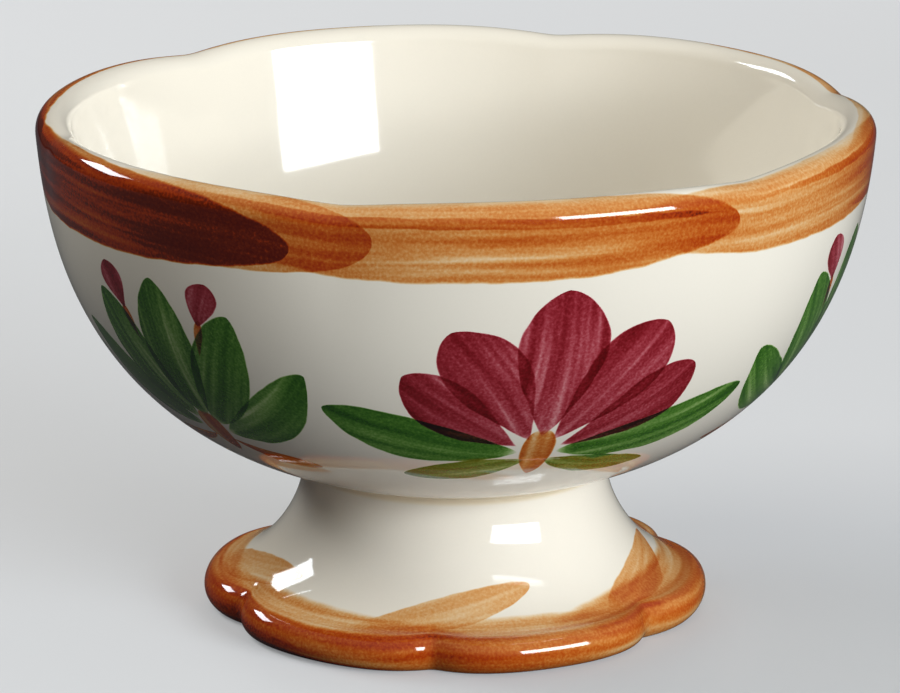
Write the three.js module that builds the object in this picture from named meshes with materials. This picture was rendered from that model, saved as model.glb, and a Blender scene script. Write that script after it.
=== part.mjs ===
// A footed sherbet dish in glazed earthenware. A cast bowl with a six-lobed rim stands on a hollow cast
// foot with a six-lobed edge, and a ring of clay slip joins the two before firing.
// Lengths are millimetres and angles degrees. The origin is on the table under the middle of the dish,
// +Z points up, and a notch of the rim faces -Y.
import * as THREE from 'three';

// Whole dish
const HEIGHT = 62.4; // table to the top of a lobe of the rim
const LOBES = 6; // round the rim, and round the edge of the foot
const CREAM = '#ece6da'; // glazed body
const BEIGE = '#d9cdb6'; // slip under the glaze
const GLAZE_ROUGHNESS = 0.12;
const SLIP_ROUGHNESS = 0.3;

// Bowl
const RIM_DIAMETER = 101.6; // over the lip, from a lobe to the one across
const LIP = 4.4; // thickness of the rounded lip
const WALL = 5.4; // wall below the lip
const WALL_RUN = 13; // how far below the lip the wall reaches that thickness
const BOWL_BOTTOM = 16.5; // table to the lowest point of the bowl, which hangs inside the foot
const BOTTOM_REACH = 43.7; // pull of the flat bottom on the curve of the wall
const LIP_LEAN = 5; // lean of the wall outwards at the lip
const LIP_REACH = 15.2; // pull of the upright lip on the curve of the wall
const RIM_NOTCH_DEPTH = 0.7; // how far the rim draws in between two lobes
const RIM_NOTCH_DIP = 0.9; // how far the lip dips there
const RIM_NOTCH_RUN = 22; // how far the notches fade down the wall
const RIM_LOBE_POWER = 3; // a higher power gives a rounder lobe and a narrower notch

// Foot
const FOOT_DIAMETER = 62.1; // over the edge, from a lobe to the one across
const EDGE = 4.6; // thickness of the rounded edge
const RING_WIDTH = 3.2; // flat ring under the edge, on which the dish stands
const RING_ROUND = 1.5; // rounding from that ring into the hollow
const NECK_DIAMETER = 37.6;
const NECK_WALL = 4.3;
const NECK_REACH = 4.6; // pull of the upright neck on the flare
const FLARE_REACH = 5.0; // pull of the edge on the flare
const FLARE_SLOPE = 4; // fall of the flare where it meets the edge
const HOLLOW_SLOPE = 40; // rise of the hollow where it leaves the ring
const HOLLOW_REACH = 6; // pull of the ring on the hollow
const NECK_HOLLOW_REACH = 7; // pull of the upright neck on the hollow
const FOOT_NOTCH_DEPTH = 2.2; // how far the edge draws in between two lobes
const FOOT_NOTCH_RUN = 6; // how far in from the edge the notches fade
const FOOT_LOBE_POWER = 4;
const FOOT_TURN = 10; // turn of the foot's lobes from the rim's, as the two were stuck together

// Slip joint
const SLIP = 0.5; // slip left between the neck and the bowl at the inside of the neck
const SLIP_FILLET = 0.8; // slip wiped into the crease round the neck

// Facets round a lobe, and along each stretch of a profile
const FACETS_PER_LOBE = 12;
const UNDERSIDE_FACETS = 3;
const SEAT_FACETS = 3;
const WALL_FACETS = 13;
const HALF_LIP_FACETS = 4;
const FILLET_FACETS = 3;
const FLARE_FACETS = 9;
const EDGE_FACETS = 9;
const RING_ROUND_FACETS = 2;
const HOLLOW_FACETS = 7;
const HALVINGS = 40; // steps of a search along a curve

const radians = THREE.MathUtils.degToRad;
const at = (radius, height) => new THREE.Vector2(radius, height);
const along = (angle, length) => at(length * Math.cos(radians(angle)), length * Math.sin(radians(angle)));

const rimRadius = RIM_DIAMETER / 2;
const footRadius = FOOT_DIAMETER / 2;
const neckRadius = NECK_DIAMETER / 2;
const neckInside = neckRadius - NECK_WALL;

// Points on an arc in a profile, from one angle to another.
function arc(centre, radius, from, to, steps) {
  const angles = Array.from({ length: steps + 1 }, (_, i) => from + ((to - from) * i) / steps);
  return angles.map((angle) => centre.clone().add(along(angle, radius)));
}

// Points on a curve between two of its parameters, each moved to the left of its course by its offset.
function stretch(curve, from, to, steps, offset = () => 0) {
  const parameters = Array.from({ length: steps + 1 }, (_, i) => from + ((to - from) * i) / steps);
  return parameters.map((t) => {
    const tangent = curve.getTangent(t);
    const point = curve.getPoint(t);
    return point.add(at(-tangent.y, tangent.x).multiplyScalar(offset(point)));
  });
}

// The parameter at which a curve that only moves outwards reaches a radius, by halving.
function parameterAtRadius(curve, radius) {
  let low = 0;
  let high = 1;
  for (let halving = 0; halving < HALVINGS; halving += 1) {
    const middle = (low + high) / 2;
    if (curve.getPoint(middle).x < radius) low = middle;
    else high = middle;
  }
  return high;
}

// How far a direction lies into a notch: 0 at the middle of a lobe, 1 where two lobes meet.
function notch(x, y, power) {
  const turn = (Math.atan2(x, -y) / (2 * Math.PI)) * LOBES;
  return Math.abs(2 * (turn - Math.floor(turn)) - 1) ** power;
}

// A profile turned about +Z. Each point is then drawn in and down by what draw returns for it, which is
// where the lobes come from.
function turned(profile, draw = () => ({ inwards: 0, down: 0 })) {
  const geometry = new THREE.LatheGeometry(profile, LOBES * FACETS_PER_LOBE);
  geometry.rotateX(Math.PI / 2);
  const positions = geometry.attributes.position;
  const point = new THREE.Vector3();
  for (let i = 0; i < positions.count; i += 1) {
    point.fromBufferAttribute(positions, i);
    const radius = Math.hypot(point.x, point.y);
    const { inwards, down } = draw(point, radius);
    const shrink = radius > 0 ? (radius - inwards) / radius : 1;
    positions.setXYZ(i, point.x * shrink, point.y * shrink, point.z - down);
  }
  geometry.computeVertexNormals();
  return geometry;
}

function piece(name, geometry, colour, roughness) {
  const material = new THREE.MeshStandardMaterial({ color: colour, roughness, metalness: 0 });
  const mesh = new THREE.Mesh(geometry, material);
  mesh.name = name;
  return mesh;
}

// The outside of the bowl in profile: level at the axis, then sweeping up to the lip.
const lipCentre = at(rimRadius - LIP / 2, HEIGHT - LIP / 2);
const wallTop = lipCentre.clone().add(along(-LIP_LEAN, LIP / 2));
const bowlCurve = new THREE.CubicBezierCurve(
  at(0, BOWL_BOTTOM),
  at(BOTTOM_REACH, BOWL_BOTTOM),
  wallTop.clone().sub(along(90 - LIP_LEAN, LIP_REACH)),
  wallTop,
);

// The wall at a point of that curve: as thick as the lip at its top, and thicker below, at first quickly.
function wallAt(point) {
  const left = 1 - THREE.MathUtils.clamp((wallTop.y - point.y) / WALL_RUN, 0, 1);
  return THREE.MathUtils.lerp(WALL, LIP, left * left);
}

// The stretch of that curve that the slip holds, shared by the bowl and the slip.
const seatStart = parameterAtRadius(bowlCurve, neckInside);
const seatEnd = parameterAtRadius(bowlCurve, neckRadius + SLIP_FILLET);
const seat = stretch(bowlCurve, seatStart, seatEnd, SEAT_FACETS);
const footTop = seat[0].y - SLIP;

function bowl() {
  const profile = [
    ...stretch(bowlCurve, 0, seatStart, UNDERSIDE_FACETS),
    ...seat.slice(1),
    ...stretch(bowlCurve, seatEnd, 1, WALL_FACETS).slice(1),
    ...arc(lipCentre, LIP / 2, -LIP_LEAN, 90, HALF_LIP_FACETS).slice(1),
    ...arc(lipCentre, LIP / 2, 90, 180 - LIP_LEAN, HALF_LIP_FACETS).slice(1),
    ...stretch(bowlCurve, 1, 0, WALL_FACETS, wallAt).slice(1),
  ];
  const draw = (point) => {
    const fade = THREE.MathUtils.smoothstep(point.z, HEIGHT - RIM_NOTCH_RUN, HEIGHT);
    const depth = fade * notch(point.x, point.y, RIM_LOBE_POWER);
    return { inwards: RIM_NOTCH_DEPTH * depth, down: RIM_NOTCH_DIP * depth };
  };
  return piece('bowl', turned(profile, draw), CREAM, GLAZE_ROUGHNESS);
}

// A wedge of slip: flat on the neck, fitted to the bowl above, with a hollow fillet round the outside.
function slipJoint() {
  const crease = bowlCurve.getPoint(parameterAtRadius(bowlCurve, neckRadius));
  const filletDrop = Math.min(SLIP_FILLET, crease.y - footTop);
  const fillet = new THREE.QuadraticBezierCurve(at(neckRadius, crease.y - filletDrop), crease, seat.at(-1));
  const profile = [
    at(neckInside, footTop),
    at(neckRadius, footTop),
    ...stretch(fillet, 0, 1, FILLET_FACETS),
    ...seat.slice(0, -1).reverse(),
    at(neckInside, footTop),
  ];
  return piece('slip_joint', turned(profile), BEIGE, SLIP_ROUGHNESS);
}

function foot() {
  const edgeCentre = at(footRadius - EDGE / 2, EDGE / 2);
  const flareEnd = edgeCentre.clone().add(along(90 - FLARE_SLOPE, EDGE / 2));
  const flare = new THREE.CubicBezierCurve(
    at(neckRadius, footTop),
    at(neckRadius, footTop - NECK_REACH),
    flareEnd.clone().sub(along(-FLARE_SLOPE, FLARE_REACH)),
    flareEnd,
  );
  const ringInside = edgeCentre.x - RING_WIDTH;
  const rounding = arc(at(ringInside, RING_ROUND), RING_ROUND, -90, -90 - HOLLOW_SLOPE, RING_ROUND_FACETS);
  const hollowStart = rounding.at(-1);
  const hollow = new THREE.CubicBezierCurve(
    hollowStart,
    hollowStart.clone().add(along(180 - HOLLOW_SLOPE, HOLLOW_REACH)),
    at(neckInside, footTop - NECK_HOLLOW_REACH),
    at(neckInside, footTop),
  );
  const profile = [
    ...stretch(hollow, 1, 0, HOLLOW_FACETS),
    ...rounding.reverse().slice(1),
    ...arc(edgeCentre, EDGE / 2, -90, 90 - FLARE_SLOPE, EDGE_FACETS),
    ...stretch(flare, 1, 0, FLARE_FACETS).slice(1),
    at(neckInside, footTop),
  ];
  const draw = (point, radius) => {
    const fade = THREE.MathUtils.smoothstep(radius, footRadius - FOOT_NOTCH_RUN, footRadius);
    return { inwards: FOOT_NOTCH_DEPTH * fade * notch(point.x, point.y, FOOT_LOBE_POWER), down: 0 };
  };
  const mesh = piece('foot', turned(profile, draw), CREAM, GLAZE_ROUGHNESS);
  mesh.rotation.z = radians(FOOT_TURN);
  return mesh;
}

const dish = new THREE.Group();
dish.name = 'sherbet_dish';
dish.add(bowl(), slipJoint(), foot());

export default dish;
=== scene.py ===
"""A footed sherbet dish in glazed earthenware: its finished surfaces and its paint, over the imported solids.

Lengths are metres. The origin is on the table under the middle of the dish and +Z points up. A turn is an
angle round the axis, counted from -Y towards +X, and a profile is a row of (radius, height) points that is
turned about the axis. The paint is laid as brush strokes, each of which adds to the density of its colour
under the glaze.
"""

import functools
import math
from types import SimpleNamespace
from typing import NamedTuple

import bmesh
import bpy
import numpy as np
from bpy.props import FloatProperty, FloatVectorProperty, PointerProperty
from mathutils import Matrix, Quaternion, Vector


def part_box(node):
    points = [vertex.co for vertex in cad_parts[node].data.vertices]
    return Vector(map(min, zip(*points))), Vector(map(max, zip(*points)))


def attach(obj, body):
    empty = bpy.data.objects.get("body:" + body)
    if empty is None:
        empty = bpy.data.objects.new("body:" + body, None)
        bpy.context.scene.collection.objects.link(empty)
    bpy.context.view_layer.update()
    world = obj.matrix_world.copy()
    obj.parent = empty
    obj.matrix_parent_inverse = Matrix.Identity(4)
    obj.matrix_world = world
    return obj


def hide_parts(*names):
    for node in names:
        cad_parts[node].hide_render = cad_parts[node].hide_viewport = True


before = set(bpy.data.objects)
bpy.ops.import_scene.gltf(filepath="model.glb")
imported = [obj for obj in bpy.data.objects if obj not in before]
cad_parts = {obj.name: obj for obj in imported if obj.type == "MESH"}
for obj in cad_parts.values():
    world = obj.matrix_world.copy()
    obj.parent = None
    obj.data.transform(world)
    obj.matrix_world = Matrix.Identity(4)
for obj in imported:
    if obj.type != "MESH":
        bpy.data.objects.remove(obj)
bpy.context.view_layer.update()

bl_info = {
    "name": "Sherbet Dish",
    "version": (1, 0, 0),
    "blender": (4, 5, 0),
    "location": "View3D > Sidebar > Sherbet Dish",
    "description": "Makes a footed dish with a lobed rim and foot, painted with a brush under a clear glaze",
    "category": "Add Mesh",
}

MM = 0.001
TURN = 2.0 * math.pi
LOBES = 6
BOWL_LOW, BOWL_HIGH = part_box("bowl")
FOOT_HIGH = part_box("foot")[1]

# Fineness of the surfaces: columns round the axis, and rows along each stretch of a profile
COLUMNS = 384
WALL_ROWS = 84
LIP_ROWS = 26
SEAT_ROWS = 12
FILLET_ROWS = 12
FLARE_ROWS = 52
EDGE_ROWS = 30
RING_ROWS = 4
RING_ROUND_ROWS = 8
HOLLOW_ROWS = 34
LOOKUP_ROWS = 4001  # rows of the table in which a curve is looked up by its radius
WELD = 1e-7  # points closer than this fall together
SHARP = math.radians(50.0)  # a turned corner above this stays crisp

# Shape of the lobes: a higher power rounds a lobe, and softening makes the fold between two a small valley
RIM_LOBE_POWER = 3.0
RIM_NOTCH_SOFTEN = 0.06
FOOT_LOBE_POWER = 4.0
FOOT_NOTCH_SOFTEN = 0.05


# Properties


def size(name, millimetres, description):
    """A length whose default is given in millimetres."""
    return FloatProperty(
        name=name, description=description, default=millimetres * MM, min=0.0, precision=5, unit="LENGTH"
    )


def angle(name, degrees, description):
    """An angle whose default is given in degrees."""
    return FloatProperty(name=name, description=description, default=math.radians(degrees), subtype="ANGLE")


def linear(red, green, blue):
    """A colour given as it looks on screen, from 0 to 255, in the linear values that shaders use."""
    shares = np.array([red, green, blue]) / 255.0
    return tuple(np.where(shares <= 0.04045, shares / 12.92, ((shares + 0.055) / 1.055) ** 2.4))


def colour(name, shown, description):
    """A colour whose default is given as it looks on screen."""
    return FloatVectorProperty(
        name=name, description=description, default=linear(*shown), min=0.0, max=1.0, size=3, subtype="COLOR"
    )


class SherbetBowlSizes(bpy.types.PropertyGroup):
    """Sizes of the bowl."""

    height: size("Height", BOWL_HIGH.z / MM, "Table to the top of a lobe of the rim")
    bottom: size("Bottom", BOWL_LOW.z / MM, "Table to the lowest point of the bowl")
    rim_diameter: size("Rim Diameter", 101.6, "Over the lip, from a lobe to the one across")
    lip: size("Lip", 4.4, "Thickness of the rounded lip")
    wall: size("Wall", 5.4, "Wall below the lip")
    wall_run: size("Wall Run", 13.0, "How far below the lip the wall reaches that thickness")
    bottom_reach: size("Bottom Reach", 43.7, "Pull of the flat bottom on the curve of the wall")
    lip_lean: angle("Lip Lean", 5.0, "Lean of the wall outwards at the lip")
    lip_reach: size("Lip Reach", 15.2, "Pull of the upright lip on the curve of the wall")
    notch_depth: size("Notch Depth", 0.7, "How far the rim draws in between two lobes")
    notch_dip: size("Notch Dip", 0.9, "How far the lip dips between two lobes")
    notch_run: size("Notch Run", 22.0, "How far the notches fade down the wall")


class SherbetFootSizes(bpy.types.PropertyGroup):
    """Sizes of the foot and of the slip that joins it to the bowl."""

    top: size("Top", FOOT_HIGH.z / MM, "Table to the top of the neck")
    diameter: size("Diameter", 62.1, "Over the edge, from a lobe to the one across")
    edge: size("Edge", 4.6, "Thickness of the rounded edge")
    ring_width: size("Ring Width", 3.2, "Flat ring under the edge, on which the dish stands")
    ring_round: size("Ring Rounding", 1.5, "Rounding from that ring into the hollow")
    neck_diameter: size("Neck Diameter", 37.6, "Over the neck")
    neck_wall: size("Neck Wall", 4.3, "Wall of the neck")
    neck_reach: size("Neck Reach", 4.6, "Pull of the upright neck on the flare")
    flare_reach: size("Flare Reach", 5.0, "Pull of the edge on the flare")
    flare_slope: angle("Flare Slope", 4.0, "Fall of the flare where it meets the edge")
    hollow_slope: angle("Hollow Slope", 40.0, "Rise of the hollow where it leaves the ring")
    hollow_reach: size("Hollow Reach", 6.0, "Pull of the ring on the hollow")
    neck_hollow_reach: size("Neck Hollow Reach", 7.0, "Pull of the upright neck on the hollow")
    notch_depth: size("Notch Depth", 2.2, "How far the edge draws in between two lobes")
    notch_run: size("Notch Run", 6.0, "How far in from the edge the notches fade")
    turn: angle("Turn", 10.0, "Turn of the foot's lobes from the rim's")
    slip_fillet: size("Slip Fillet", 0.8, "Slip wiped into the crease round the neck")


class SherbetColours(bpy.types.PropertyGroup):
    """Colours of the body, and of the paint as it looks over the body."""

    cream: colour("Cream", (232, 226, 213), "Glazed body")
    # Beige of the fillet in the crease round the neck, a little darker than the cream.
    beige: colour("Beige", (228, 215, 188), "Slip under the glaze")
    buff: colour("Buff", (216, 196, 168), "Bare clay where the ring was wiped")
    brown: colour("Brown", (170, 73, 14), "Brushed bands and small strokes")
    # Thick paint. The dark strokes on the front-left of the rim band and of the foot also reach it, and there
    # it is painted shade.
    umber: colour("Umber", (142, 71, 25), "Brown where it lies thick")
    green: colour("Green", (60, 106, 28), "Leaves")
    burgundy: colour("Burgundy", (128, 26, 36), "Petals")
    floor: colour("Floor", (72, 74, 78), "Studio floor, as it lights the dish")
    paper: colour("Paper", (184, 186, 189), "Studio floor, as the camera sees it")
    backdrop: colour("Backdrop", (214, 216, 219), "Background, and what it adds to the floor")
    ambient: colour("Ambient", (255, 252, 245), "Soft light from all round")
    key_light: colour("Key Light", (244, 250, 255), "Light of the softboxes that the glaze mirrors")
    fill_light: colour("Fill Light", (255, 250, 240), "Light of the fills")


class SherbetStage(bpy.types.PropertyGroup):
    """Camera and floor."""

    azimuth: angle("Camera Azimuth", 15.6, "Turn of the camera round the dish")
    elevation: angle("Camera Elevation", 15.5, "Height of the camera over the horizon")
    distance: size("Camera Distance", 600.0, "Camera to the point that it aims at")
    aim_height: size("Aim Height", 32.3, "Table to the point that the camera aims at")
    aim_left: size("Aim Left", 0.61, "How far left of the axis the camera aims")
    lens: FloatProperty(name="Lens", description="Focal length in millimetres", default=196.1, min=1.0)
    floor_radius: size("Floor Radius", 4000.0, "Radius of the studio floor")


# Surfaces


def smoothstep(low, high, value):
    """An even rise from 0 at low to 1 at high, level at both ends."""
    t = np.clip((value - low) / (high - low), 0.0, 1.0)
    return t * t * (3.0 - 2.0 * t)


def step(direction, distance):
    """A move in a profile, at an angle from the outward radius."""
    return distance * np.array([math.cos(direction), math.sin(direction)])


def arc(centre, radius, start, end, count):
    """Points on a circle in a profile, evenly from one angle to another."""
    angles = np.linspace(start, end, count)
    return centre + radius * np.stack([np.cos(angles), np.sin(angles)], axis=1)


def bezier(controls, t):
    """Points on a Bezier curve: its control points, blended in pairs by t until one row is left."""
    layer = np.asarray(controls, dtype=float)[:, None, :]
    while len(layer) > 1:
        layer = layer[:-1] * (1.0 - t)[:, None] + layer[1:] * t[:, None]
    return layer[0]


def left_of(controls, t):
    """Unit normals to the left of a Bezier curve.

    They are its derivative, a Bezier curve on the differences of its points, turned by a quarter.
    """
    course = bezier(np.diff(np.asarray(controls, dtype=float), axis=0), t)
    course /= np.linalg.norm(course, axis=1, keepdims=True)
    return np.stack([-course[:, 1], course[:, 0]], axis=1)


def notch(turns, power, soften):
    """How far each turn lies into a notch: 0 in the middle of a lobe, 1 where two lobes meet.

    With d the way to the nearest notch in half lobes, it is 1 - sqrt(d² + soften²), scaled to 1 at the notch
    and raised to a power.
    """
    distance = 1.0 - np.abs(2.0 * np.mod(turns * LOBES / TURN, 1.0) - 1.0)
    rise = np.maximum(1.0 - np.hypot(distance, soften), 0.0) / (1.0 - soften)
    return rise**power


def plain(radius, height, turns):
    """A turned surface with no lobes."""
    return radius + 0.0 * turns, height + 0.0 * turns


def turned_mesh(name, profile, start, draw=plain):
    """A profile turned about +Z, as a mesh with its own map and with the way along the profile on its points.

    Row i and column j lie at (r sin a, -r cos a, z), where a is the turn of the column, and draw gives r and
    z from the row's radius and height and from a. Points that fall together, on the axis or where a profile
    closes, are welded. The attribute "trail" is the length of the profile from row start, so it is negative
    before that row.
    """
    lengths = np.linalg.norm(np.diff(profile, axis=0), axis=1)
    trail = np.concatenate([[0.0], np.cumsum(lengths)])
    turns = np.linspace(0.0, TURN, COLUMNS, endpoint=False)
    radius, height = draw(profile[:, :1], profile[:, 1:], turns)
    points = np.stack([radius * np.sin(turns), -radius * np.cos(turns), height], axis=2)

    rows, columns = np.meshgrid(np.arange(len(profile) - 1), np.arange(COLUMNS), indexing="ij")
    corner_rows = np.stack([rows, rows, rows + 1, rows + 1], axis=2)
    corner_columns = np.stack([columns, columns + 1, columns + 1, columns], axis=2)
    corners = corner_rows * COLUMNS + corner_columns % COLUMNS

    mesh = bpy.data.meshes.new(name)
    mesh.from_pydata(points.reshape(-1, 3), [], corners.reshape(-1, 4))
    places = np.stack([corner_columns / COLUMNS, trail[corner_rows] / trail[-1]], axis=3)
    mesh.uv_layers.new(name="OFBake").data.foreach_set("uv", places.astype(np.float32).ravel())
    along = np.repeat(trail - trail[start], COLUMNS).astype(np.float32)
    mesh.attributes.new("trail", "FLOAT", "POINT").data.foreach_set("value", along)

    welded = bmesh.new()
    welded.from_mesh(mesh)
    bmesh.ops.remove_doubles(welded, verts=welded.verts, dist=WELD)
    welded.to_mesh(mesh)
    welded.free()
    mesh.shade_smooth()
    mesh.set_sharp_from_angle(angle=SHARP)
    return mesh


def bowl_curve(sizes):
    """Control points of the bowl's outside, from level at the axis up to the lip, and the lip's centre."""
    lip = np.array([sizes.rim_diameter / 2.0 - sizes.lip / 2.0, sizes.height - sizes.lip / 2.0])
    wall_top = lip + step(-sizes.lip_lean, sizes.lip / 2.0)
    controls = [
        (0.0, sizes.bottom),
        (sizes.bottom_reach, sizes.bottom),
        wall_top - step(math.pi / 2.0 - sizes.lip_lean, sizes.lip_reach),
        wall_top,
    ]
    return np.array(controls), lip


def parameter_at(controls, radius):
    """The parameter at which a curve that only moves outwards reaches a radius, read off a fine table."""
    t = np.linspace(0.0, 1.0, LOOKUP_ROWS)
    return float(np.interp(radius, bezier(controls, t)[:, 0], t))


def bowl_surface(sizes):
    """The bowl: its outside curve, half a turn of lip, and that curve a wall further in, back to the axis.

    The wall is as thick as the lip at its top. Below, it thickens by 1 - (1 - d)², with d the way down in
    shares of the wall's run. Towards the rim each point is drawn in and down by its notch, which fades in
    from the notches' run to the top.
    """
    controls, lip = bowl_curve(sizes)
    upwards = np.linspace(0.0, 1.0, WALL_ROWS)
    downwards = upwards[::-1]
    outside = bezier(controls, upwards)
    rounded = arc(lip, sizes.lip / 2.0, -sizes.lip_lean, math.pi - sizes.lip_lean, LIP_ROWS)
    left = 1.0 - np.clip((controls[-1][1] - outside[::-1, 1:]) / sizes.wall_run, 0.0, 1.0)
    wall = sizes.wall + (sizes.lip - sizes.wall) * left**2
    inside = outside[::-1] + wall * left_of(controls, downwards)
    profile = np.concatenate([outside, rounded[1:-1], inside])
    profile[-1, 0] = 0.0  # the inside ends on the axis

    def draw(radius, height, turns):
        fade = smoothstep(sizes.height - sizes.notch_run, sizes.height, height)
        depth = fade * notch(turns, RIM_LOBE_POWER, RIM_NOTCH_SOFTEN)
        return radius - sizes.notch_depth * depth, height - sizes.notch_dip * depth

    crown = int(np.argmax(profile[:, 1]))
    return turned_mesh("bowl_glazed", profile, crown, draw)


def slip_surface(bowl_sizes, sizes):
    """The slip: flat on the neck, fitted to the bowl above, with a hollow fillet round the outside."""
    controls, _ = bowl_curve(bowl_sizes)
    neck = sizes.neck_diameter / 2.0
    inner = neck - sizes.neck_wall
    radii = (inner, neck, neck + sizes.slip_fillet)
    seat_from, crease_at, seat_to = (parameter_at(controls, radius) for radius in radii)
    seat = bezier(controls, np.linspace(seat_to, seat_from, SEAT_ROWS))
    crease = bezier(controls, np.array([crease_at]))[0]
    drop = min(sizes.slip_fillet, crease[1] - sizes.top)
    fillet = bezier([(neck, crease[1] - drop), crease, seat[0]], np.linspace(0.0, 1.0, FILLET_ROWS))
    corner = np.array([[inner, sizes.top]])
    profile = np.concatenate([corner, [[neck, sizes.top]], fillet, seat[1:], corner])
    return turned_mesh("slip_glazed", profile, 1)


def foot_surface(sizes):
    """The foot: down the hollow, out under the ring, round the edge, up the flare and across the neck's top.

    Towards the edge each point is drawn in by its notch, which fades in over the notches' run.
    """
    outer = sizes.diameter / 2.0
    neck = sizes.neck_diameter / 2.0
    inner = neck - sizes.neck_wall
    edge = np.array([outer - sizes.edge / 2.0, sizes.edge / 2.0])
    edge_top = math.pi / 2.0 - sizes.flare_slope
    flare_end = edge + step(edge_top, sizes.edge / 2.0)
    flare_pull = flare_end - step(-sizes.flare_slope, sizes.flare_reach)
    flare = [flare_end, flare_pull, (neck, sizes.top - sizes.neck_reach), (neck, sizes.top)]
    under = -math.pi / 2.0
    ring_inner = np.array([edge[0] - sizes.ring_width, sizes.ring_round])
    rounded = arc(ring_inner, sizes.ring_round, under - sizes.hollow_slope, under, RING_ROUND_ROWS)
    hollow_pull = rounded[0] + step(math.pi - sizes.hollow_slope, sizes.hollow_reach)
    hollow = [(inner, sizes.top), (inner, sizes.top - sizes.neck_hollow_reach), hollow_pull, rounded[0]]
    ring = np.linspace(rounded[-1], (edge[0], 0.0), RING_ROWS)
    underside = [bezier(hollow, np.linspace(0.0, 1.0, HOLLOW_ROWS)), rounded[1:], ring[1:]]
    outside = [
        arc(edge, sizes.edge / 2.0, under, edge_top, EDGE_ROWS)[1:],
        bezier(flare, np.linspace(0.0, 1.0, FLARE_ROWS))[1:],
        [(inner, sizes.top)],
    ]

    def draw(radius, height, turns):
        fade = smoothstep(outer - sizes.notch_run, outer, radius)
        depth = fade * notch(turns - sizes.turn, FOOT_LOBE_POWER, FOOT_NOTCH_SOFTEN)
        return radius - sizes.notch_depth * depth, height + 0.0 * turns

    ring_end = sum(map(len, underside)) - 1
    return turned_mesh("foot_glazed", np.concatenate(underside + outside), ring_end, draw)


# Shader graphs


class Field:
    """A value that changes over a surface: an output socket on which arithmetic adds Math nodes."""

    def __init__(self, graph, socket):
        self.graph = graph
        self.socket = socket

    def __add__(self, other):
        return self.graph.math("ADD", self, other)

    def __sub__(self, other):
        return self.graph.math("SUBTRACT", self, other)

    def __rsub__(self, other):
        return self.graph.math("SUBTRACT", other, self)

    def __mul__(self, other):
        return self.graph.math("MULTIPLY", self, other)

    def __truediv__(self, other):
        return self.graph.math("DIVIDE", self, other)

    def __pow__(self, other):
        return self.graph.math("POWER", self, other)

    def __abs__(self):
        return self.graph.math("ABSOLUTE", self)

    __radd__ = __add__
    __rmul__ = __mul__


class Graph:
    """Adds nodes to a node tree in rows, and links or sets what they read."""

    ROW = 16
    STEP = 200.0

    def __init__(self, tree):
        self.tree = tree
        tree.nodes.clear()

    def add(self, kind, inputs=None, **settings):
        """A node with its settings, and with a value or a field on each input that is named or numbered."""
        count = len(self.tree.nodes)
        node = self.tree.nodes.new(kind)
        node.location = (self.STEP * (count % self.ROW), -self.STEP * (count // self.ROW))
        for name, value in settings.items():
            setattr(node, name, value)
        for key, value in (inputs or {}).items():
            self.feed(node.inputs[key], value)
        return node

    def feed(self, socket, value):
        """Links a field to a socket, or sets the socket to a constant."""
        if isinstance(value, Field):
            self.tree.links.new(value.socket, socket)
        else:
            socket.default_value = value

    def field(self, kind, output, inputs=None, **settings):
        return Field(self, self.add(kind, inputs, **settings).outputs[output])

    def math(self, operation, *values):
        return self.field("ShaderNodeMath", 0, dict(enumerate(values)), operation=operation)

    def smoothstep(self, low, high, value):
        inputs = {"Value": value, "From Min": low, "From Max": high}
        return self.field("ShaderNodeMapRange", "Result", inputs, interpolation_type="SMOOTHSTEP")

    def place(self):
        """The point of the surface, in the object's own axes."""
        return self.field("ShaderNodeTexCoord", "Object")

    def trail(self):
        """The way along the profile that the mesh carries."""
        return self.field("ShaderNodeAttribute", "Fac", attribute_name="trail")

    def split(self, vector):
        node = self.add("ShaderNodeSeparateXYZ", {"Vector": vector})
        return [Field(self, socket) for socket in node.outputs]

    def join(self, x, y, z):
        return self.field("ShaderNodeCombineXYZ", "Vector", {"X": x, "Y": y, "Z": z})

    def noise(self, vector, scale, detail, output="Fac", dimensions="3D"):
        """Smooth noise about one half, on features of 1 / scale."""
        inputs = {"Vector": vector, "Scale": scale, "Detail": detail}
        return self.field("ShaderNodeTexNoise", output, inputs, noise_dimensions=dimensions)

    def mix(self, factor, first, second, blend="MIX"):
        """Two colours mixed. A Mix node has a socket for each type of value, so its colours go by number."""
        inputs = {0: factor, 6: first, 7: second}
        return self.field("ShaderNodeMix", 2, inputs, data_type="RGBA", blend_type=blend)

    def group(self, tree, **inputs):
        """A node group placed with its inputs, whose names are written with _ for a space."""
        named = {name.replace("_", " "): value for name, value in inputs.items()}
        node = self.add("ShaderNodeGroup", node_tree=tree)
        for name, value in named.items():
            self.feed(node.inputs[name], value)
        made = [Field(self, socket) for socket in node.outputs]
        return made if len(made) > 1 else made[0]

    def deliver(self, **outputs):
        self.add("NodeGroupOutput", outputs)


def new_group(name, inputs, outputs):
    """An empty node group with float inputs, given with their defaults, and float outputs.

    The inputs come back as fields, each under its name in small letters with _ for a space.
    """
    tree = bpy.data.node_groups.new(name, "ShaderNodeTree")
    for socket, default in inputs.items():
        made = tree.interface.new_socket(socket, in_out="INPUT", socket_type="NodeSocketFloat")
        made.default_value = default
    for socket in outputs:
        tree.interface.new_socket(socket, in_out="OUTPUT", socket_type="NodeSocketFloat")
    graph = Graph(tree)
    entry = graph.add("NodeGroupInput")
    given = {socket.lower().replace(" ", "_"): Field(graph, entry.outputs[socket]) for socket in inputs}
    return graph, SimpleNamespace(**given)


def node_group(make):
    """Makes a node group at its first use, named after its function, and gives it again at each later use."""
    name = make.__name__.removesuffix("_group").replace("_", " ").title()

    @functools.wraps(make)
    def shared():
        if name not in bpy.data.node_groups:
            make(name)
        return bpy.data.node_groups[name]

    return shared


# Brushwork

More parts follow.
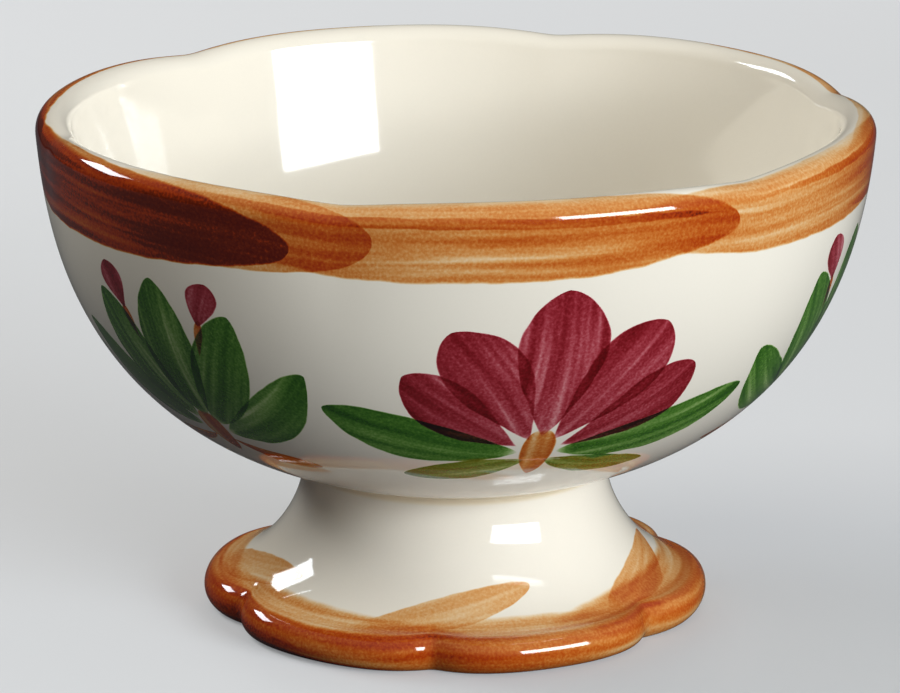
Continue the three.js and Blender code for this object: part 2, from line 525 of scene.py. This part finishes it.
SWAY_SCALE = 34.0  # wander of the hand, per metre
RAGGED_SCALE = 300.0  # unevenness of the edge of a stroke, per metre
RAGGED = 0.5 * MM
SOFT_EDGE = 0.25 * MM
POOL_WIDTH = 0.7 * MM  # how far in from the edge of a stroke paint pools
STREAK_ALONG = 32.0  # streaks of the bristles, per metre along and across a stroke
STREAK_ACROSS = 700.0
TIP_FROM = 0.6  # share of a stroke from which its tip grows heavy
NOT_DRY = 0.001  # share over which a stroke ends that doesn't run dry
SEED_STEP = 17.3  # way from the streaks of one seed to those of the next


@node_group
def round_panel_group(name):
    """Where a point lies on one of several like panels round the axis.

    Across is the arc from the middle of the panel and Up is what was given, both with a little of the hand's
    wander. Index counts the panels, and Ragged is how far the edge of a stroke strays there.
    """
    inputs = {"Count": 6.0, "Phase": 0.0, "Up": 0.0, "Sway": 0.0}
    graph, given = new_group(name, inputs, ["Across", "Up", "Index", "Ragged"])
    place = graph.place()
    x, y, _ = graph.split(place)
    radius = graph.math("SQRT", x * x + y * y)
    cell = (graph.math("ARCTAN2", x, y * -1.0) / TURN + given.phase) * given.count
    index = graph.math("FLOORED_MODULO", graph.math("FLOOR", cell), given.count)
    share = graph.math("FRACT", cell) - 0.5
    wander_x, wander_y, _ = graph.split(graph.noise(place, SWAY_SCALE, detail=0.0, output="Color"))
    across = share * radius * TURN / given.count + (wander_x - 0.5) * given.sway
    up = given.up + (wander_y - 0.5) * given.sway
    ragged = (graph.noise(place, RAGGED_SCALE, detail=1.0) - 0.5) * RAGGED
    graph.deliver(Across=across, Up=up, Index=index, Ragged=ragged)


@node_group
def brush_stroke_group(name):
    """Density of the paint in one stroke of a loaded brush.

    The stroke starts at its root and runs at an angle for its length, with its tip bent aside by a parabola
    and its ends cut at a slant. Its half width follows sin(pi t^belly)^blunt along it. The paint fades in
    from the root, and is heavy at the tip or runs dry there. The bristles leave streaks along the stroke,
    and paint pools at the edge.
    """
    inputs = {
        "Across": 0.0,
        "Up": 0.0,
        "Ragged": 0.0,
        "Root Across": 0.0,
        "Root Up": 0.0,
        "Angle": math.pi / 2.0,
        "Length": 20.0 * MM,
        "Width": 8.0 * MM,
        "Bend": 0.0,
        "Slant": 0.0,
        "Belly": 1.2,
        "Blunt": 0.8,
        "Load": 1.0,
        "Fade": 0.1,
        "Heavy": 0.3,
        "Dry": NOT_DRY,
        "Streak": 1.5,
        "Pool": 0.2,
        "Soft": SOFT_EDGE,
        "Seed": 0.0,
    }
    graph, given = new_group(name, inputs, ["Density"])
    cosine = graph.math("COSINE", given.angle)
    sine = graph.math("SINE", given.angle)
    right = given.across - given.root_across
    above = given.up - given.root_up
    off = above * cosine - right * sine
    along = right * cosine + above * sine + off * given.slant
    share = graph.math("MINIMUM", graph.math("MAXIMUM", along / given.length, 0.0), 1.0)
    side = off - given.bend * share * share
    half = given.width * 0.5 * graph.math("SINE", math.pi * share**given.belly) ** given.blunt
    depth = half - abs(side) - abs(along - share * given.length) + given.ragged
    wet = graph.smoothstep(0.0, given.fade, share) * graph.smoothstep(0.0, given.dry, 1.0 - share)
    cover = graph.smoothstep(0.0, given.soft, depth) * wet
    edge = 1.0 - graph.smoothstep(0.0, POOL_WIDTH, depth)
    start = given.seed * SEED_STEP
    course = graph.join(along * STREAK_ALONG + start, side * STREAK_ACROSS + start, 0.0)
    bristles = graph.noise(course, scale=1.0, detail=2.0, dimensions="2D") - 0.5
    tip = graph.smoothstep(TIP_FROM, 1.0, share)
    uneven = 1.0 + bristles * given.streak + edge * given.pool + tip * given.heavy
    graph.deliver(Density=cover * given.load * uneven)


BAND_SWAY = 2.2 * MM
BAND_STREAK = 2.4
BAND_POOL = 0.12
STRAY_ALONG = 0.1  # how far chance moves a stroke of a band, in shares of its length
STRAY_UP = 0.12  # and in shares of its width, with how far it bends and widens the stroke
STRAY_BEND = 0.25
STRAY_WIDTH = 0.2
SEED_SPREAD = 3.7  # way from the streaks of one band's seed to those of the next


@node_group
def band_strokes_group(name):
    """One round of long strokes, one to a panel.

    Chance gives each stroke its own place, tilt, width, bend, slant and load.
    """
    inputs = {
        "Up": 0.0,
        "Count": 5.0,
        "Phase": 0.0,
        "Length": 60.0 * MM,
        "Middle": 6.0 * MM,
        "Width": 5.0 * MM,
        "Rise": 0.0,
        "Tilt": 0.06,
        "Blunt": 0.42,
        "Load": 0.5,
        "Vary": 0.4,
        "Fade": 0.25,
        "Heavy": 0.9,
        "Dry": NOT_DRY,
        "Soft": SOFT_EDGE,
        "Seed": 0.0,
    }
    graph, given = new_group(name, inputs, ["Density"])
    across, up, index, ragged = graph.group(
        round_panel_group(), Count=given.count, Phase=given.phase, Up=given.up, Sway=BAND_SWAY
    )
    pair = graph.join(index, given.seed, 0.0)
    chances = graph.field("ShaderNodeTexWhiteNoise", "Color", {"Vector": pair}, noise_dimensions="2D")
    first, second, third = (chance - 0.5 for chance in graph.split(chances))
    density = graph.group(
        brush_stroke_group(),
        Across=across,
        Up=up,
        Ragged=ragged,
        Root_Across=given.length * (third * STRAY_ALONG - 0.5),
        Root_Up=given.middle + first * given.width * STRAY_UP,
        Angle=given.rise + second * given.tilt,
        Length=given.length,
        Width=given.width * (1.0 + third * STRAY_WIDTH),
        Bend=first * given.width * STRAY_BEND,
        Slant=second,
        Belly=1.0,
        Blunt=given.blunt,
        Load=given.load * (1.0 + second * given.vary),
        Fade=given.fade,
        Heavy=given.heavy,
        Dry=given.dry,
        Streak=BAND_STREAK,
        Pool=BAND_POOL,
        Soft=given.soft,
        Seed=index + given.seed * SEED_SPREAD,
    )
    graph.deliver(Density=density)


CLOUD_SCALE = 45.0  # soft clouds in the body and the glaze, per metre
GRAIN_SCALE = 3000.0  # grain of clay and pigment, per metre
RIPPLE_SCALE = 62.0  # ripples of the glaze, per metre
BODY_CLOUD = 0.06  # how much clouds and grain change the tone of the body
BODY_GRAIN = 0.02
PAINT_CLOUD = 0.7  # and the density of the paint
PAINT_GRAIN = 1.1
GLOSS = 0.06  # roughness of the glaze, and how much clouds add to it
CLOUDED_GLOSS = 0.10
GLAZE_RIPPLE = 0.09 * MM
SLIP_RIPPLE = 0.04 * MM


@node_group
def glaze_skin_group(name):
    """The clear glaze and what lies under it.

    Mottle is a soft change of the body's tone, Grain that of the paint's density, Roughness the gloss, and
    Height the ripple of the surface in metres.
    """
    graph, given = new_group(name, {"Ripple": GLAZE_RIPPLE}, ["Mottle", "Grain", "Roughness", "Height"])
    place = graph.place()
    cloud = graph.noise(place, CLOUD_SCALE, detail=2.0) - 0.5
    grain = graph.noise(place, GRAIN_SCALE, detail=1.0) - 0.5
    graph.deliver(
        Mottle=1.0 + cloud * BODY_CLOUD + grain * BODY_GRAIN,
        Grain=1.0 + cloud * PAINT_CLOUD + grain * PAINT_GRAIN,
        Roughness=GLOSS + abs(cloud) * CLOUDED_GLOSS,
        Height=(graph.noise(place, RIPPLE_SCALE, detail=1.0) - 0.5) * given.ripple,
    )


PATCH_SCALE = 90.0  # patches in which paint holds on a ridge, per metre
PATCH_BARE = 0.62  # noise from which paint breaks as it would all over, and up to which it holds
PATCH_HELD = 0.42


@node_group
def glaze_break_group(name):
    """How thin paint is left on a ridge: 1 on the ridge, falling off over a width, more or less patchily."""
    inputs = {"Distance": 0.0, "Width": 0.4 * MM, "Patchy": 1.0}
    graph, given = new_group(name, inputs, ["Mask"])
    patches = graph.noise(graph.place(), PATCH_SCALE, detail=2.0)
    away = (given.distance + (patches - 0.5) * given.width) / given.width
    mask = graph.math("EXPONENT", away * away * -1.0)
    graph.deliver(Mask=mask * (1.0 - given.patchy * graph.smoothstep(PATCH_BARE, PATCH_HELD, patches)))


class Stroke(NamedTuple):
    """A stroke of a motif, in millimetres and degrees, with its root across and up from the motif's foot."""

    across: float
    up: float
    angle: float
    length: float
    width: float
    bend: float = 0.0
    belly: float = 1.6
    mirrored: bool = False


def both(*strokes):
    """Strokes of the right half of a motif, which come again as mirror images on the left."""
    return [stroke._replace(mirrored=True) for stroke in strokes]


# Two motifs take turns on the lobes: a palmette of petals, and a fan of leaves. The phases put them there.
MOTIF_COPIES = 3
HALF_LOBE = 0.5 / LOBES  # in turns
MOTIF_FOOT = 38.5 * MM  # way down from the crown of the lip to the foot of a motif
MOTIF_SWAY = 3.5 * MM
MOTIF_BLUNT = 0.6
MOTIF_STREAK = 2.4
MOTIF_LOADS = {"burgundy": 1.0, "green": 1.03, "brown": 0.92}
HALF_SEED = 0.3  # how far the seeds of the two halves of a motif lie from its own
LEAF_BELLY = 1.15
HEART_BELLY = 0.7
PALMETTE_PHASE = 0.5 - HALF_LOBE
PALMETTE_SEED = 10.0
PALMETTE = {
    "burgundy": [
        Stroke(0.0, 5.0, 90.0, 21.5, 10.5),
        *both(Stroke(1.2, 4.5, 60.0, 20.5, 9.0, -1.0), Stroke(2.2, 3.5, 31.0, 19.0, 7.5, 2.5)),
    ],
    "green": both(
        Stroke(2.0, 2.5, 4.0, 25.0, 7.0, 6.0, LEAF_BELLY),
        Stroke(1.0, 1.0, -26.0, 13.5, 4.6, 3.0, LEAF_BELLY),
    ),
    "brown": [Stroke(0.0, 6.5, -90.0, 9.0, 4.0, belly=HEART_BELLY)],
}
LEAF_FAN_PHASE = 0.5 + HALF_LOBE
LEAF_FAN_SEED = 40.0
LEAF_FAN = {
    "green": [
        Stroke(0.0, 5.0, 90.0, 20.5, 9.0, belly=LEAF_BELLY),
        *both(
            Stroke(1.5, 4.0, 56.0, 20.5, 8.2, 2.0, LEAF_BELLY),
            Stroke(2.0, 2.5, 19.0, 20.5, 7.0, 6.0, LEAF_BELLY),
        ),
    ],
    "burgundy": both(Stroke(6.5, 20.0, 72.0, 6.6, 4.6, -0.5)),
    "brown": [
        Stroke(0.0, 6.0, -90.0, 8.5, 3.8, belly=HEART_BELLY),
        *both(Stroke(1.0, 1.0, -34.0, 11.0, 3.2, 3.5), Stroke(5.2, 15.6, 73.0, 5.6, 1.4)),
    ],
}


def paint_motif(graph, up, phase, motif, seed):
    """The density of each colour of a motif that comes round several times.

    A mirrored stroke is painted on the panel folded at its middle.
    """
    across, up, index, ragged = graph.group(
        round_panel_group(), Count=MOTIF_COPIES, Phase=phase, Up=up, Sway=MOTIF_SWAY
    )
    folded = abs(across)
    half_index = index + graph.math("SIGN", across) * HALF_SEED
    densities = {}
    for paint, strokes in motif.items():
        for number, stroke in enumerate(strokes):
            density = graph.group(
                brush_stroke_group(),
                Across=folded if stroke.mirrored else across,
                Up=up,
                Ragged=ragged,
                Root_Across=stroke.across * MM,
                Root_Up=stroke.up * MM,
                Angle=math.radians(stroke.angle),
                Length=stroke.length * MM,
                Width=stroke.width * MM,
                Bend=stroke.bend * MM,
                Belly=stroke.belly,
                Blunt=MOTIF_BLUNT,
                Load=MOTIF_LOADS[paint],
                Streak=MOTIF_STREAK,
                Seed=(half_index if stroke.mirrored else index) + (seed + number),
            )
            densities[paint] = densities[paint] + density if paint in densities else density
    return densities


# Materials

FULL_DENSITY = 2.4  # what coat upon coat of paint comes to
THICK_FROM = 1.8  # densities between which paint turns to its thick colour
THICK_FULL = 3.0
GLAZE_IOR = 1.62


def new_material(name):
    """A material, and the graph of its nodes."""
    material = bpy.data.materials.new(name)
    material.use_nodes = True
    return material, Graph(material.node_tree)


def opaque(rgb):
    """A colour as the four values that a colour socket takes."""
    return (*rgb, 1.0)


def share_passed(body, paint):
    """The share of the light that one coat of paint passes, from its colour over the body."""
    return opaque(np.clip(np.array(paint) / np.array(body), 0.0, 1.0))


def over(graph, base, body, paint, thick, density):
    """A base colour seen through paint: at a density of 1 the paint over the body shows its own colour.

    Paint passes a share of the light, and that share to the power of its density elsewhere. More coats add
    less and less: the density is full (1 - exp(-coats / full)). Where it lies thick, paint turns to another
    colour.
    """
    thickness = graph.smoothstep(THICK_FROM, THICK_FULL, density)
    share = graph.mix(thickness, share_passed(body, paint), share_passed(body, thick))
    reached = (1.0 - graph.math("EXPONENT", density * (-1.0 / FULL_DENSITY))) * FULL_DENSITY
    passed = graph.field("ShaderNodeGamma", "Color", {"Color": share, "Gamma": reached})
    return graph.mix(1.0, base, passed, "MULTIPLY")


def add_glaze(graph, base, roughness, height):
    """Ends a material in a glossy glaze over a base colour."""
    bump = graph.field("ShaderNodeBump", "Normal", {"Height": height, "Strength": 1.0, "Distance": 1.0})
    inputs = {"Base Color": base, "Roughness": roughness, "Normal": bump, "IOR": GLAZE_IOR}
    shader = graph.field("ShaderNodeBsdfPrincipled", "BSDF", inputs)
    graph.add("ShaderNodeOutputMaterial", {"Surface": shader})


def brushed_band(graph, up, layers):
    """The density of a band made of several rounds of strokes."""
    rounds = [graph.group(band_strokes_group(), Up=up, **layer) for layer in layers]
    return sum(rounds[1:], rounds[0])


HALF_STEP = 0.5 / 3.0  # phase that sets a round of three strokes between those of another

# Strokes of the rim: two rounds of long broad ones, shorter ones over them, and a thin line
RIM_PHASE = 0.122
RIM_BROAD = {"Count": 3.0, "Middle": 4.8 * MM, "Width": 11.2 * MM, "Heavy": 0.6}
RIM_LONG = {**RIM_BROAD, "Length": 67.0 * MM, "Load": 1.12, "Vary": 1.85, "Soft": 0.45 * MM}
RIM_LINE = {"Count": 4.0, "Length": 70.0 * MM, "Middle": 2.3 * MM, "Width": 1.4 * MM, "Load": 0.5}
RIM_LAYERS = (
    # The phase and seeds of these two rounds give the stroke on the front-left the heaviest load: thick
    # paint, and partly painted shade on that side of the band.
    {**RIM_LONG, "Phase": RIM_PHASE, "Seed": 33.0},
    {**RIM_LONG, "Phase": RIM_PHASE - HALF_STEP, "Seed": 36.0},
    {**RIM_BROAD, "Phase": 0.219, "Length": 42.0 * MM, "Load": 0.5, "Fade": 0.5, "Seed": 7.0},
    {**RIM_LINE, "Phase": 0.1, "Seed": 35.0},
)
CROWN_FROM = -0.35 * MM  # stretch over which the band starts, measured down from the crown of the lip
CROWN_TO = -0.1 * MM
CROWN_WIDTH = 1.7 * MM  # width of the crown, how much of the paint it loses, and how patchily
CROWN_THIN = 0.8
CROWN_PATCHY = 0.3

# Paints of the bowl, each with its colour where it lies thick
PAINTS = {"brown": "umber", "green": "green", "burgundy": "burgundy"}


def bowl_material(colours):
    """Cream glaze, a brushed brown band from the crown of the lip down, and the motifs below it."""
    material, graph = new_material("bowl_glaze")
    trail = graph.trail()
    down = trail * -1.0
    up = trail + MOTIF_FOOT
    mottle, grain, roughness, height = graph.group(glaze_skin_group(), Ripple=GLAZE_RIPPLE)
    started = graph.smoothstep(CROWN_FROM, CROWN_TO, down)
    crown = graph.group(glaze_break_group(), Distance=down, Width=CROWN_WIDTH, Patchy=CROWN_PATCHY)
    band = brushed_band(graph, down, RIM_LAYERS) * started * (1.0 - crown * CROWN_THIN)
    palmette = paint_motif(graph, up, PALMETTE_PHASE, PALMETTE, PALMETTE_SEED)
    fan = paint_motif(graph, up, LEAF_FAN_PHASE, LEAF_FAN, LEAF_FAN_SEED)
    densities = {paint: palmette[paint] + fan[paint] for paint in PAINTS}
    densities["brown"] = densities["brown"] + band
    base = graph.mix(1.0, opaque(colours.cream), mottle, "MULTIPLY")
    for paint, thick in PAINTS.items():
        density = densities[paint] * grain
        base = over(graph, base, colours.cream, getattr(colours, paint), getattr(colours, thick), density)
    add_glaze(graph, base, roughness, height)
    return material


SLIP_FROM = 0.3 * MM  # stretch over which the beige starts, measured up from the neck
SLIP_TO = 0.9 * MM


def slip_material(colours):
    """Cream glaze, turning beige up the fillet in the crease round the neck."""
    material, graph = new_material("slip")
    mottle, _, roughness, height = graph.group(glaze_skin_group(), Ripple=SLIP_RIPPLE)
    crease = graph.smoothstep(SLIP_FROM, SLIP_TO, graph.trail())
    base = graph.mix(crease, opaque(colours.cream), opaque(colours.beige))
    base = graph.mix(1.0, base, mottle, "MULTIPLY")
    add_glaze(graph, base, roughness, height)
    return material


# Strokes of the foot: two along its edge, a dark one low on the edge at the front-left that is painted shade,
# washes, and short lifted ones
FOOT_EDGE = {"Count": 1.0, "Tilt": 0.0, "Blunt": 0.15, "Heavy": 0.0, "Soft": 1.0 * MM}
FOOT_FIRST = {**FOOT_EDGE, "Length": 150.0 * MM, "Middle": 1.7 * MM, "Width": 11.0 * MM, "Fade": 0.35}
FOOT_SECOND = {**FOOT_EDGE, "Length": 110.0 * MM, "Middle": 1.2 * MM, "Width": 10.4 * MM, "Fade": 0.2}
# Painted shade: a heavy dark stroke low on the edge, set on the front-left by its phase.
FOOT_PAINTED_SHADE = {**FOOT_EDGE, "Length": 56.0 * MM, "Middle": 1.4 * MM, "Width": 8.4 * MM, "Fade": 0.4}
FOOT_WASH = {
    "Count": 3.0,
    "Length": 52.0 * MM,
    "Middle": 6.4 * MM,
    "Width": 9.5 * MM,
    "Blunt": 0.7,
    "Load": 0.44,
    "Fade": 0.25,
    "Heavy": 0.15,
    "Soft": 1.2 * MM,
}
FOOT_LIFT = {
    "Count": 5.0,
    "Length": 23.0 * MM,
    "Middle": 7.5 * MM,
    "Width": 5.5 * MM,
    "Rise": math.radians(15.0),
    "Blunt": 0.5,
    "Load": 0.3,
    "Heavy": 0.3,
}
WASH_PHASE = 0.09
FOOT_LAYERS = (
    {**FOOT_FIRST, "Phase": 0.715, "Load": 0.92, "Dry": 0.22, "Seed": 7.0},
    {**FOOT_SECOND, "Phase": 0.217, "Load": 0.45, "Seed": 8.0},
    # Painted shade: the dark stroke sits low on the edge at the front-left, where the foot meets the floor.
    {**FOOT_PAINTED_SHADE, "Phase": 0.635, "Load": 2.3, "Dry": 0.35, "Soft": 2.6 * MM, "Seed": 5.0},
    {**FOOT_WASH, "Phase": WASH_PHASE, "Seed": 9.0},
    {**FOOT_WASH, "Phase": WASH_PHASE + HALF_STEP, "Seed": 10.0},
    {**FOOT_LIFT, "Phase": 0.067, "Seed": 10.0},
)
BAND_FROM = 0.1 * MM  # stretch over which the band starts, measured up from the ring
BAND_TO = 0.4 * MM
SHOULDER = 5.4 * MM  # way up from the ring to the shoulder of the edge
SHOULDER_WIDTH = 0.5 * MM
SHOULDER_THIN = 0.35  # how much of the paint the shoulder loses
WIPED_FROM = 0.1 * MM  # stretch over which the wiped clay starts, measured up from the ring's outside
WIPED_TO = -0.3 * MM
WIPED_SOFT = 0.4 * MM  # stretch over which it ends at the ring's inside
WIPED_ROUGHNESS = 0.6  # how much rougher than the glaze it is


def foot_material(colours, sizes):
    """Cream glaze, a brushed brown band that is thin on the shoulder and has painted shade low on the
    front-left, and a ring of bare clay underneath.
    """
    material, graph = new_material("foot_glaze")
    trail = graph.trail()
    mottle, grain, roughness, height = graph.group(glaze_skin_group(), Ripple=GLAZE_RIPPLE)
    started = graph.smoothstep(BAND_FROM, BAND_TO, trail)
    shoulder = graph.group(glaze_break_group(), Distance=trail - SHOULDER, Width=SHOULDER_WIDTH)
    brown = brushed_band(graph, trail, FOOT_LAYERS) * started * (1.0 - shoulder * SHOULDER_THIN) * grain
    base = graph.mix(1.0, opaque(colours.cream), mottle, "MULTIPLY")
    base = over(graph, base, colours.cream, colours.brown, colours.umber, brown)
    ring_inside = -sizes.ring_width
    wiped = graph.smoothstep(ring_inside, ring_inside + WIPED_SOFT, trail)
    wiped = wiped * graph.smoothstep(WIPED_FROM, WIPED_TO, trail)
    base = graph.mix(wiped, base, opaque(colours.buff))
    add_glaze(graph, base, roughness + wiped * WIPED_ROUGHNESS, height)
    return material


# Pieces


def dress(mesh, material, node):
    """Makes the object of a finished mesh with its material, in place of a node of the frame, whose part it
    hides.
    """
    mesh.materials.append(material)
    piece = bpy.data.objects.new(mesh.name, mesh)
    bpy.context.scene.collection.objects.link(piece)
    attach(piece, "root")
    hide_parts(node)


class SHERBET_OT_bowl(bpy.types.Operator):
    """Make the bowl with its six-lobed rim and its paint"""

    bl_idname = "sherbet.bowl"
    bl_label = "Bowl"

    def execute(self, context):
        settings = context.scene
        mesh = bowl_surface(settings.sherbet_bowl)
        dress(mesh, bowl_material(settings.sherbet_colours), "bowl")
        return {"FINISHED"}


class SHERBET_OT_slip_joint(bpy.types.Operator):
    """Make the ring of slip between the bowl and the foot"""

    bl_idname = "sherbet.slip_joint"
    bl_label = "Slip Joint"

    def execute(self, context):
        settings = context.scene
        mesh = slip_surface(settings.sherbet_bowl, settings.sherbet_foot)
        dress(mesh, slip_material(settings.sherbet_colours), "slip_joint")
        return {"FINISHED"}


class SHERBET_OT_foot(bpy.types.Operator):
    """Make the hollow foot with its six-lobed edge and its band"""

    bl_idname = "sherbet.foot"
    bl_label = "Foot"

    def execute(self, context):
        settings = context.scene
        mesh = foot_surface(settings.sherbet_foot)
        material = foot_material(settings.sherbet_colours, settings.sherbet_foot)
        dress(mesh, material, "foot")
        return {"FINISHED"}


# Stage


def around(azimuth, elevation, distance, aim):
    """A point at a distance from an aim, at an azimuth from -Y towards +X and an elevation over level."""
    level = math.cos(elevation)
    direction = Vector((math.sin(azimuth) * level, -math.cos(azimuth) * level, math.sin(elevation)))
    return aim + distance * direction


def aimed(name, data, place, aim, roll=0.0):
    """An object at a place, whose -Z looks at an aim and which is rolled about that line."""
    made = bpy.data.objects.new(name, data)
    made.location = place
    facing = (aim - place).to_track_quat("-Z", "Y") @ Quaternion((0.0, 0.0, 1.0), roll)
    made.rotation_euler = facing.to_euler()
    bpy.context.scene.collection.objects.link(made)
    return made


class Softbox(NamedTuple):
    """A rectangular softbox that faces the dish, in degrees, metres and watts."""

    azimuth: float
    elevation: float
    roll: float
    distance: float
    width: float
    height: float
    power: float
    mirrored: bool = True


SOFTBOXES = {
    "key_softbox": Softbox(60.5, 16.5, -2.0, 0.9, 0.56, 0.26, 8.0),
    "back_softbox": Softbox(-108.0, 30.0, 0.0, 0.8, 0.36, 0.14, 1.8),
    "left_fill": Softbox(-80.0, 48.0, 0.0, 0.8, 0.5, 0.4, 2.5, mirrored=False),
    "front_fill": Softbox(45.0, 6.0, 0.0, 0.9, 0.5, 0.14, 1.6, mirrored=False),
    "back_fill": Softbox(198.0, 14.0, 0.0, 0.9, 0.5, 0.2, 2.6, mirrored=False),
}


def light_up(name, box, aim, colours):
    """Makes the lamp of a softbox. One that isn't mirrored lights the dish with no highlight of its own."""
    light = bpy.data.lights.new(name, "AREA")
    light.shape = "RECTANGLE"
    light.size = box.width
    light.size_y = box.height
    light.energy = box.power
    light.color = colours.key_light if box.mirrored else colours.fill_light
    place = around(math.radians(box.azimuth), math.radians(box.elevation), box.distance, aim)
    lamp = aimed(name, light, place, aim, math.radians(box.roll))
    lamp.visible_glossy = box.mirrored
    lamp.visible_camera = False


FLOOR_GLOW = 0.3  # share of the backdrop that the floor shows besides what lights it
FLOOR_NEAR = 0.22  # radii between which the floor passes into the backdrop
FLOOR_FAR = 0.6
FLOOR_ROUGHNESS = 0.7
FLOOR_CLOUD_SCALE = 9.0  # very soft clouds in the paper, per metre
FLOOR_CLOUD = 0.05
BLACK = (0.0, 0.0, 0.0, 1.0)
HORIZON = 0.05  # strength of the sky at the horizon, and where it is brightest
ZENITH = 0.34
SKY_TILT = math.radians(20.0)  # lean of the brightest part of the sky towards the key light


def floor_material(colours):
    """Paper with a soft mottle. The camera sees it pale near the dish, and further out as the backdrop."""
    material, graph = new_material("floor_paper")
    place = graph.place()
    mottle = 1.0 + (graph.noise(place, FLOOR_CLOUD_SCALE, detail=4.0) - 0.5) * FLOOR_CLOUD
    radius = graph.field("ShaderNodeVectorMath", "Value", {0: place}, operation="LENGTH")
    far = graph.smoothstep(FLOOR_NEAR, FLOOR_FAR, radius)
    camera_ray = graph.field("ShaderNodeLightPath", "Is Camera Ray")
    paper = graph.mix(far, opaque(colours.paper), BLACK)
    base = graph.mix(camera_ray, opaque(colours.floor), paper)
    inputs = {
        "Base Color": graph.mix(1.0, base, mottle, "MULTIPLY"),
        "Roughness": FLOOR_ROUGHNESS,
        "Specular IOR Level": 0.0,
        "Emission Color": opaque(colours.backdrop),
        "Emission Strength": camera_ray * (FLOOR_GLOW + far * (1.0 - FLOOR_GLOW)),
    }
    shader = graph.field("ShaderNodeBsdfPrincipled", "BSDF", inputs)
    graph.add("ShaderNodeOutputMaterial", {"Surface": shader})
    return material


def studio_world(colours):
    """Soft light, stronger from above and from the key's side. The camera sees the backdrop in its place."""
    world = bpy.data.worlds.new("studio")
    world.use_nodes = True
    graph = Graph(world.node_tree)
    direction = graph.field("ShaderNodeTexCoord", "Generated")
    key = math.radians(SOFTBOXES["key_softbox"].azimuth)
    brightest = around(key, math.pi / 2.0 - SKY_TILT, 1.0, Vector())
    rise = graph.field("ShaderNodeVectorMath", "Value", {0: direction, 1: brightest}, operation="DOT_PRODUCT")
    strength = HORIZON + graph.smoothstep(0.0, 1.0, rise) * (ZENITH - HORIZON)
    light = graph.field("ShaderNodeBackground", 0, {"Color": opaque(colours.ambient), "Strength": strength})
    seen = graph.field("ShaderNodeBackground", 0, {"Color": opaque(colours.backdrop), "Strength": 1.0})
    camera_ray = graph.field("ShaderNodeLightPath", "Is Camera Ray")
    surface = graph.field("ShaderNodeMixShader", 0, {0: camera_ray, 1: light, 2: seen})
    graph.add("ShaderNodeOutputWorld", {"Surface": surface})
    return world


class SHERBET_OT_stage(bpy.types.Operator):
    """Make the floor, the studio light and the camera"""

    bl_idname = "sherbet.stage"
    bl_label = "Stage"

    def execute(self, context):
        scene = context.scene
        stage = scene.sherbet_stage
        profile = np.array([(stage.floor_radius, 0.0), (0.0, 0.0)])
        mesh = turned_mesh("floor", profile, 0)
        mesh.materials.append(floor_material(scene.sherbet_colours))
        floor = bpy.data.objects.new("floor", mesh)
        scene.collection.objects.link(floor)

        middle = Vector((0.0, 0.0, stage.aim_height))
        for name, box in SOFTBOXES.items():
            light_up(name, box, middle, scene.sherbet_colours)
        scene.world = studio_world(scene.sherbet_colours)

        camera = bpy.data.cameras.new("camera")
        camera.lens = stage.lens
        right = Vector((math.cos(stage.azimuth), math.sin(stage.azimuth), 0.0))
        aim = middle - stage.aim_left * right
        place = around(stage.azimuth, stage.elevation, stage.distance, aim)
        scene.camera = aimed("camera", camera, place, aim)
        scene.view_settings.view_transform = "Standard"
        return {"FINISHED"}


class SHERBET_PT_dish(bpy.types.Panel):
    """Sizes, colours and operators of the dish"""

    bl_label = "Sherbet Dish"
    bl_idname = "SHERBET_PT_dish"
    bl_space_type = "VIEW_3D"
    bl_region_type = "UI"
    bl_category = "Sherbet Dish"

    def draw(self, context):
        for operator in OPERATORS:
            self.layout.operator(operator.bl_idname)
        for name in SETTINGS:
            settings = getattr(context.scene, name)
            box = self.layout.box()
            for prop in settings.__annotations__:
                box.prop(settings, prop)


SETTINGS = {
    "sherbet_bowl": SherbetBowlSizes,
    "sherbet_foot": SherbetFootSizes,
    "sherbet_colours": SherbetColours,
    "sherbet_stage": SherbetStage,
}
OPERATORS = (SHERBET_OT_bowl, SHERBET_OT_slip_joint, SHERBET_OT_foot, SHERBET_OT_stage)
CLASSES = (*SETTINGS.values(), *OPERATORS, SHERBET_PT_dish)


def register():
    for each in CLASSES:
        bpy.utils.register_class(each)
    for name, settings in SETTINGS.items():
        setattr(bpy.types.Scene, name, PointerProperty(type=settings))


def unregister():
    for name in SETTINGS:
        delattr(bpy.types.Scene, name)
    for each in reversed(CLASSES):
        bpy.utils.unregister_class(each)


def main():
    """Makes the dish and its stage."""
    register()
    bpy.ops.sherbet.bowl()
    bpy.ops.sherbet.slip_joint()
    bpy.ops.sherbet.foot()
    bpy.ops.sherbet.stage()
    bpy.context.view_layer.update()


if __name__ == "__main__":
    main()
